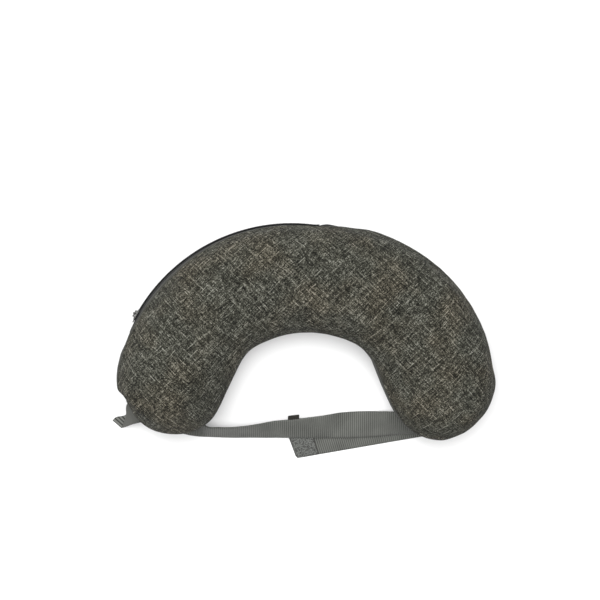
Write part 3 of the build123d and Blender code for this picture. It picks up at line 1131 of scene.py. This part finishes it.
def ribbon_faces(rows, columns):
    """Faces of a closed strip: its top, its underside, both edges and both ends."""
    cols = columns + 1
    base = rows * cols
    faces = []
    for i in range(rows - 1):
        for j in range(columns):
            a, b = i * cols + j, (i + 1) * cols + j
            faces.append((a, b, b + 1, a + 1))
            faces.append((base + a, base + a + 1, base + b + 1, base + b))
        for j, flip in ((0, False), (columns, True)):
            a, b = i * cols + j, (i + 1) * cols + j
            side = (a, base + a, base + b, b)
            faces.append(tuple(reversed(side)) if flip else side)
    for i, flip in ((0, True), (rows - 1, False)):
        for j in range(columns):
            a = i * cols + j
            end = (a, base + a, base + a + 1, a + 1)
            faces.append(tuple(reversed(end)) if flip else end)
    return faces


def ribbon(name, rails, thickness=WEBBING_THICKNESS, step=0.7, columns=12, rib=0.0, crown=0.0):
    """Closed strip between two rails, with cross ribs in its thickness and a bow across it."""
    low_rows, high_rows, along = even_rows(*rails, step)
    share = np.linspace(0, 1, columns + 1)
    grid = low_rows[:, None] * (1 - share)[None, :, None] + high_rows[:, None] * share[None, :, None]
    up = np.cross(np.gradient(grid, axis=0), np.gradient(grid, axis=1))
    up /= np.maximum(np.linalg.norm(up, axis=2), 1e-9)[:, :, None]
    wave = np.abs(np.sin(along * math.pi / RIB_PITCH))[:, None] * rib
    edge = 1 - 0.35 * (np.abs(share - 0.5) * 2)[None, :] ** 8
    half = ((thickness / 2 - rib + wave) * edge)[:, :, None]
    bow = crown * (1 - (2 * share - 1) ** 2)[None, :, None]
    top = grid + up * (half + bow)
    under = grid - up * (half - bow)
    vertices = np.vstack([top.reshape(-1, 3), under.reshape(-1, 3)])
    obj = new_object(name, vertices, ribbon_faces(len(along), columns))
    width = np.linalg.norm(high_rows - low_rows, axis=1)[:, None] * share[None, :]
    cloth = np.stack([np.repeat(along[:, None], columns + 1, 1), width], 2).reshape(-1, 2)
    store(obj, "cloth", np.vstack([cloth, cloth]))
    with edited(obj.data) as bm:
        bmesh.ops.recalc_face_normals(bm, faces=bm.faces)
    return obj


# Left strap after its fold: X, low edge's Y and Z, the webbing's tilt in degrees and its width
LEFT_RUN = (
    (-152, -149.8, 0.9, 0.5, 25.0),
    (-136, -155.2, 0.9, 1.5, 25.4),
    (-121, -159.4, 0.9, 4, 25.4),
    (-110, -161.0, 1.0, 24, 25.4),
    (-101, -161.3, 1.4, 60, 25.4),
    (-88, -161.8, 1.8, 62, 25.4),
    (-75, -162.2, 2.1, 61, 25.4),
    (-60, -162.2, 2.5, 57.5, 25.4),
    (-46, -162.3, 2.9, 51.4, 25.4),
    (-32, -162.4, 3.2, 44, 25.4),
    (-13, -162.6, 3.5, 37.8, 25.4),
    (0, -162.7, 3.6, 32.5, 25.4),
    (12, -162.8, 3.6, 26.5, 25.4),
    (24, -162.9, 3.6, 18, 25.6),
    (36, -162.9, 3.6, 4, 26.0),
    (52, -162.8, 3.6, 0, 26.9),
    (66, -162.1, 3.6, 2, 26.5),
    (85, -160.6, 3.6, 14, 25.8),
    (98, -159.4, 3.4, 20, 25.4),
    (112, -158.6, 3.2, 20, 25.4),
)
# The fold at the left leg: low and high edge points before the run above
LEFT_FOLD = (
    ((-188.2, -152.3, 1.1), (-197.4, -144.2, 2.0)),
    ((-183.0, -150.3, 0.9), (-193.2, -140.8, 1.6)),
    ((-176.5, -148.3, 0.9), (-183.4, -138.4, 1.3)),
    ((-165.0, -146.6, 0.9), (-171.0, -126.5, 0.9)),
)
# Loop fabric: how many rows of the run it lies under, how far below, and its inset from the edges
LOOP_ROWS = 7
LOOP_DROP = 1.1
LOOP_INSET = 1.2


def left_rails():
    """Low and high edge of the left strap, from its fold to its free end."""
    low = [pair[0] for pair in LEFT_FOLD]
    high = [pair[1] for pair in LEFT_FOLD]
    for x, y, z, tilt, width in LEFT_RUN:
        a = math.radians(tilt)
        low.append((x, y, z))
        high.append((x, y + width * math.cos(a), z + width * math.sin(a)))
    return low, high


def loop_rails():
    """Rails of the loop fabric under the last part of the left strap."""
    low, high = [], []
    for x, y, z, tilt, width in LEFT_RUN[-LOOP_ROWS:]:
        a = math.radians(tilt)
        down = (LOOP_DROP * math.sin(a), -LOOP_DROP * math.cos(a))
        for rail, reach in ((low, LOOP_INSET), (high, width - LOOP_INSET)):
            rail.append((x, y + reach * math.cos(a) + down[0], z + reach * math.sin(a) + down[1]))
    return low, high


# Right strap: where it leaves its leg, its direction, its length, and the slant of its cut end
RIGHT_PIVOT = (168.0, -141.7)
RIGHT_BEARING = 260.5
RIGHT_LENGTH = 182.0
PATCH_START = RIGHT_LENGTH - 23.5
END_SKEW = 3.8


def right_point(along, across, z):
    """Point on the right strap: distance from its root, and distance towards the arch."""
    x, y = at_bearing(RIGHT_PIVOT, along, RIGHT_BEARING)
    x, y = at_bearing((x, y), across, RIGHT_BEARING + 90)
    return (x, y, z)


def right_rails(start, end, half, z, rounding=0.0, skewed_start=False):
    """Rails along the right strap, with the free end cut askew and its corners drawn in."""
    turns = (30, 60, 80) if rounding else ()
    low, high = [], []
    for w, rail in ((-half, low), (half, high)):
        skew = END_SKEW * (0.5 + w / WEBBING_WIDTH)
        first = start + (skew if skewed_start else 0)
        last = end + skew - rounding
        for share in np.linspace(0, 1, 8):
            rail.append(right_point(first + (last - first) * share, w, z))
        for turn in turns:
            ahead = rounding * math.sin(math.radians(turn))
            inwards = math.copysign(rounding * (1 - math.cos(math.radians(turn))), w)
            rail.append(right_point(last + ahead, w - inwards, z))
    return low, high


def open_fold(strap, length=22.0, stretch=0.38):
    """Mark the ribs of the strap's first stretch wider, where the fold pulls them apart."""
    data = strap.data.attributes["cloth"].data
    cloth = np.empty(len(data) * 3, np.float32)
    data.foreach_get("vector", cloth)
    cloth = cloth.reshape(-1, 3)
    along = cloth[:, 0].copy()
    cloth[:, 0] = along - stretch * np.minimum(along, length)
    cloth[:, 2] = smooth_step(-along, -length - 3, -length + 5)
    data.foreach_set("vector", cloth.ravel())


def make_left_strap(webbing):
    """Left strap with its fold and its label."""
    rails = left_rails()
    left = ribbon("strap_left_webbing", rails, step=0.35, rib=RIB_HEIGHT)
    open_fold(left)
    dress(left, webbing, "left_strap", "strap_left")
    make_label(rails)


def make_right_strap(webbing, hooks):
    """Right strap with the hook field on its free end."""
    rails = right_rails(6.0, RIGHT_LENGTH, WEBBING_WIDTH / 2, 0.8, rounding=4.0)
    right = ribbon("strap_right_webbing", rails, step=0.35, rib=RIB_HEIGHT)
    dress(right, webbing, "right_strap", "strap_right")
    half = WEBBING_WIDTH / 2 - 0.7
    rails = right_rails(PATCH_START, RIGHT_LENGTH - 0.7, half, 2.05, 3.3, skewed_start=True)
    patch = ribbon("hook_patch_field", rails, thickness=0.8)
    dress(patch, hooks, "right_strap", "hook_patch")


def make_straps():
    """Both straps with what is sewn to them, and their roots."""
    webbing = webbing_material("ribbed_webbing", (0.0078, 0.0082, 0.0073), (0.122, 0.1255, 0.114))
    plain = webbing_material("webbing_back", (0.050, 0.051, 0.0455), (0.085, 0.086, 0.077), rib=1.0)
    hooks = pile_material("hook_field", (0.026, 0.027, 0.025), (0.140, 0.145, 0.135), 0.9, 0.35)
    loops = pile_material("loop_field", (0.030, 0.031, 0.028), (0.085, 0.085, 0.080), 0.7, 0.30)
    make_left_strap(webbing)
    make_right_strap(webbing, hooks)
    loop = ribbon("loop_patch_field", loop_rails(), thickness=0.7, step=0.9)
    dress(loop, loops, "left_strap", "loop_patch")
    make_roots(plain)
    make_stitches()


# Label: its two sides along X, and its section as distances past the strap's edge and off its face
LABEL_SIDES = (-18.1, -6.9)
LABEL_SECTION = (
    (0.45, 0.62),
    (1.6, 0.55),
    (3.2, 0.45),
    (4.7, 0.34),
    (5.2, 0.0),
    (4.7, -0.42),
    (0.4, -1.1),
    (-3.6, -1.25),
)


def make_label(rails):
    """Blank woven label, doubled, sewn behind the strap's high edge."""
    low_rows, high_rows, _ = even_rows(*rails, 0.5)
    sides = []
    for x in LABEL_SIDES:
        i = int(np.abs(high_rows[:, 0] - x).argmin())
        edge = high_rows[i]
        up = (edge - low_rows[i]) / np.linalg.norm(edge - low_rows[i])
        face = np.array((0, -up[2], up[1]))
        sides.append([tuple(edge + up * along + face * off) for along, off in LABEL_SECTION])
    piece = ribbon("strap_label_blank", sides, thickness=0.45, step=0.3, columns=8)
    satin = smooth_cloth_material("label_satin", (0.010, 0.009, 0.007), (0.024, 0.022, 0.018))
    dress(piece, satin, "left_strap", "strap_label")


# Roots from the seam to the fold: the left one's two edges, and the right one as distance from the
# middle of its leg's tip and height
LEFT_ROOT_LOW = (
    (-165.0, -141.0, 22.5),
    (-171.5, -145.2, 18.0),
    (-177.6, -148.0, 13.5),
    (-186.9, -151.9, 3.6),
)
LEFT_ROOT_HIGH = (
    (-176.8, -120.5, 25.0),
    (-181.7, -128.0, 20.0),
    (-182.5, -138.2, 13.5),
    (-187.0, -150.6, 4.2),
)
RIGHT_ROOT = ((53.4, 22.5), (54.6, 16.0), (52.5, 8.5), (47.0, 3.0))


def make_roots(plain):
    """Sewn roots: the left one lies open as a smooth triangle, the right one is tucked under its leg."""
    right = [[(*at_bearing(RIGHT_TIP, r, b), z) for r, z in RIGHT_ROOT] for b in (150, 126)]
    roots = (
        ("left", (LEFT_ROOT_LOW, LEFT_ROOT_HIGH), (-176, -140), 0.64),
        ("right", right, (168, -140), 1.0),
    )
    for side, rails, place, share in roots:
        root = ribbon(f"strap_root_{side}_webbing", rails, thickness=1.3, step=0.6, crown=0.5)
        dress(root, plain, node=f"strap_anchor_{side}")
        0.0254 * 0.029 * share
        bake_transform(root)


# Left bar tack: its ends, across the opened root, and the direction its stitches swing in
LEFT_TACK = np.array(((-168.7, -141.8, 22.0), (-178.3, -124.7, 24.2)))
LEFT_TACK_SWING = np.array((-0.73, -0.47, -0.50))
STITCH_PITCH = 0.8


def box_axes(node):
    """Centre, axes and half sizes of a small box-shaped node of the frame, in millimetres."""
    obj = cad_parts[node]
    world = np.array(obj.matrix_world)
    co = read(obj.data) @ world[:3, :3].T + world[:3, 3] / MM
    _, _, axes = np.linalg.svd(co - co.mean(0), full_matrices=False)
    half = np.abs((co - co.mean(0)) @ axes.T).max(0)
    return co.mean(0), axes, half


def tack_path(side):
    """Zigzag thread of a bar tack."""
    middle, axes, half = box_axes(f"bartack_{side}")
    reach = axes[0] * half[0] * 0.96
    swing = axes[1] * half[1] * 0.9
    if side == "left":
        middle = LEFT_TACK.mean(0)
        reach = (LEFT_TACK[1] - LEFT_TACK[0]) / 2
        swing = LEFT_TACK_SWING * half[1] * 0.9
    count = int(2 * half[0] / STITCH_PITCH)
    return [middle + reach * (2 * i / count - 1) + swing * (1 if i % 2 else -1) for i in range(count + 1)]


def make_stitches():
    """Zigzag bar tacks at the roots, and a thick dark thread line at the hook field's inner end: a row of
    stitches that is also painted shadow of the field's raised edge.
    """
    tones = ((0.020, 0.020, 0.018), (0.045, 0.045, 0.040))
    thread = grained_material("sewing_thread", *tones, 2500.0, 0.03, 0.6)
    for side in ("left", "right"):
        tack = tube(f"bartack_{side}_thread", tack_path(side), WIRE_RADIUS)
        dress(tack, thread, "cushion", f"bartack_{side}")
    # Thick dark thread just outside the hook field's inner end: its stitching, and also a painted shadow
    # standing in for the shade at the field's raised edge.
    row = []
    for w in np.linspace(-WEBBING_WIDTH / 2 + 1, WEBBING_WIDTH / 2 - 1, 30):
        row.append(right_point(PATCH_START - 0.5 + END_SKEW * (0.5 + w / WEBBING_WIDTH), w, 1.75))
    seam = tube("hook_patch_stitching_and_edge_shadow", row, 0.55)
    dress(seam, thread, "right_strap")


heather = heather_material()
smooth = smooth_cloth_material("gusset_weave", (0.0322, 0.0322, 0.0282), (0.0510, 0.0510, 0.0447))
NICKEL_TONES = ((0.022, 0.022, 0.021), (0.085, 0.085, 0.082))
metal = grained_material("nickel", *NICKEL_TONES, 900.0, 0.03, 0.50, metallic=1.0, specular=0.5)
make_camera()
make_studio()
make_cover(heather, smooth)
make_zip(metal)
make_straps()
